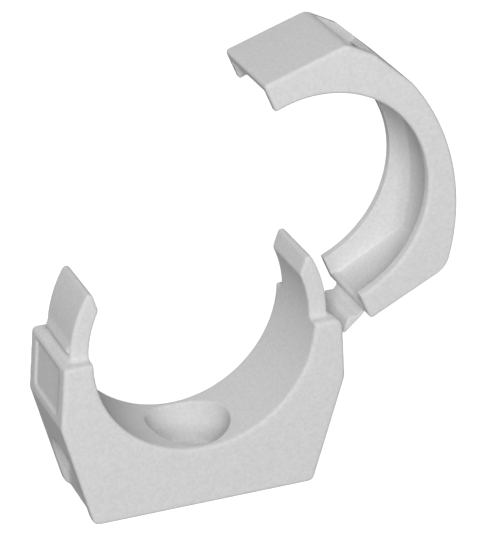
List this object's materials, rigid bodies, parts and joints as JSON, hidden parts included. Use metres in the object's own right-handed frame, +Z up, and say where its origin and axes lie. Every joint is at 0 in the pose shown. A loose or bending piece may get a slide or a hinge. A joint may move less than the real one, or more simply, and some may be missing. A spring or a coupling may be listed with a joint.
{
  "type": "pipe clip",
  "caption": "Snap-shut plastic pipe clip: a saddle on a screw-down foot, with a hinged cap that swings over the pipe and snaps onto a catch.",
  "frame": {"origin": "middle of the foot's underside, on the axis of the screw hole", "axes": "+X across the clip towards the hinge, +Y along the pipe to the clip's back, +Z up from the wall or floor that the foot is screwed to"},
  "size_m": [0.0576, 0.014, 0.0652],
  "materials": {
    "clip_plastic": "light grey moulded plastic, matt from an eroded mould; that it is polypropylene is a guess from the look and the film hinge"
  },
  "bodies": {
    "base": {"base": "clip_plastic"},
    "cap": {"cap": "clip_plastic"}
  },
  "joints": [
    {"name": "cap_hinge", "type": "hinge", "parent": "base", "child": "cap", "pos_m": [0.02163, 0, 0.02147], "axis": [0, 1, 0], "range_deg": [-62.5, 23.2]}
  ]
}
